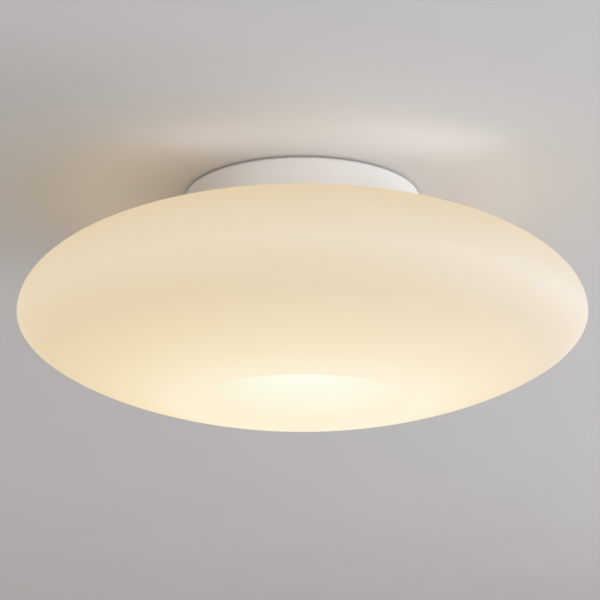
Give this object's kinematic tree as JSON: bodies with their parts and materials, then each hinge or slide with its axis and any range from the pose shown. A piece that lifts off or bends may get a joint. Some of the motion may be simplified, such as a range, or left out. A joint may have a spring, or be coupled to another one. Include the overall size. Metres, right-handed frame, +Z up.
{
  "type": "ceiling light",
  "caption": "Flush ceiling light: a flattened opal glass diffuser held under a shallow round white canopy by hidden spring catches.",
  "frame": {"origin": "centre of the ceiling face, on the top of the foam gasket", "axes": "+Z points up into the ceiling, the light hangs towards -Z, the cable inlet lies towards +Y and the driver towards -Y"},
  "size_m": [0.5, 0.4998, 0.201],
  "materials": {
    "white_paint": "fine satin white powder coat",
    "tray_white": "matt white reflecting paint",
    "foam": "closed-cell black foam",
    "white_silicone": "translucent white silicone",
    "black_rubber": "matt black rubber",
    "spring_steel": "bright rolled spring strip",
    "zinc_steel": "zinc plated",
    "collar_steel": "rolled bright steel band",
    "tinned_copper": "tinned",
    "brass": "turned brass",
    "board_white": "white solder mask on aluminium",
    "phosphor": "yellow phosphor in a white package",
    "connector_nylon": "moulded nylon",
    "case_plastic": "textured moulded plastic",
    "circuit_green": "green laminate",
    "ferrite": "dark ferrite with taped winding",
    "capacitor_sleeve": "dark blue shrink sleeve",
    "terminal_nylon": "natural moulded nylon",
    "wire_brown": "brown insulation",
    "wire_blue": "blue insulation",
    "wire_green": "green and yellow insulation",
    "wire_red": "red insulation",
    "wire_black": "black insulation",
    "opal_glass": "satin opal glass, lit warm from inside"
  },
  "bodies": {
    "housing": {"canopy_shell": "white_paint", "gear_tray": "tray_white", "ceiling_gasket": "foam", "rim_seal": "white_silicone", "cable_grommet": "black_rubber", "tray_bush": "black_rubber", "catch_springs": "spring_steel", "spring_rivets": "zinc_steel", "tray_pillars": "zinc_steel", "tray_screws": "zinc_steel", "board_screws": "zinc_steel", "driver_screws": "zinc_steel", "block_screws": "zinc_steel", "clamp_screws": "zinc_steel", "earth_washer": "zinc_steel", "earth_nut": "zinc_steel", "earth_lug": "tinned_copper", "earth_stud": "brass", "terminal_clamps": "brass", "light_board": "board_white", "light_packages": "phosphor", "board_connector": "connector_nylon", "driver_case": "case_plastic", "driver_cover": "case_plastic", "driver_circuit": "circuit_green", "driver_transformer": "ferrite", "driver_capacitors": "capacitor_sleeve", "terminal_block": "terminal_nylon", "live_wire": "wire_brown", "neutral_wire": "wire_blue", "earth_wire": "wire_green", "lamp_lead_positive": "wire_red", "lamp_lead_negative": "wire_black"},
    "diffuser": {"glass_diffuser": "opal_glass", "neck_strip": "white_silicone", "glass_collar": "collar_steel", "collar_screw": "zinc_steel", "collar_nut": "zinc_steel"}
  },
  "joints": [
    {"name": "glass_drop", "type": "slide", "parent": "housing", "child": "diffuser", "axis": [0, 0, -1], "range_m": [0, 0.15], "deforming": ["catch_springs"]}
  ]
}
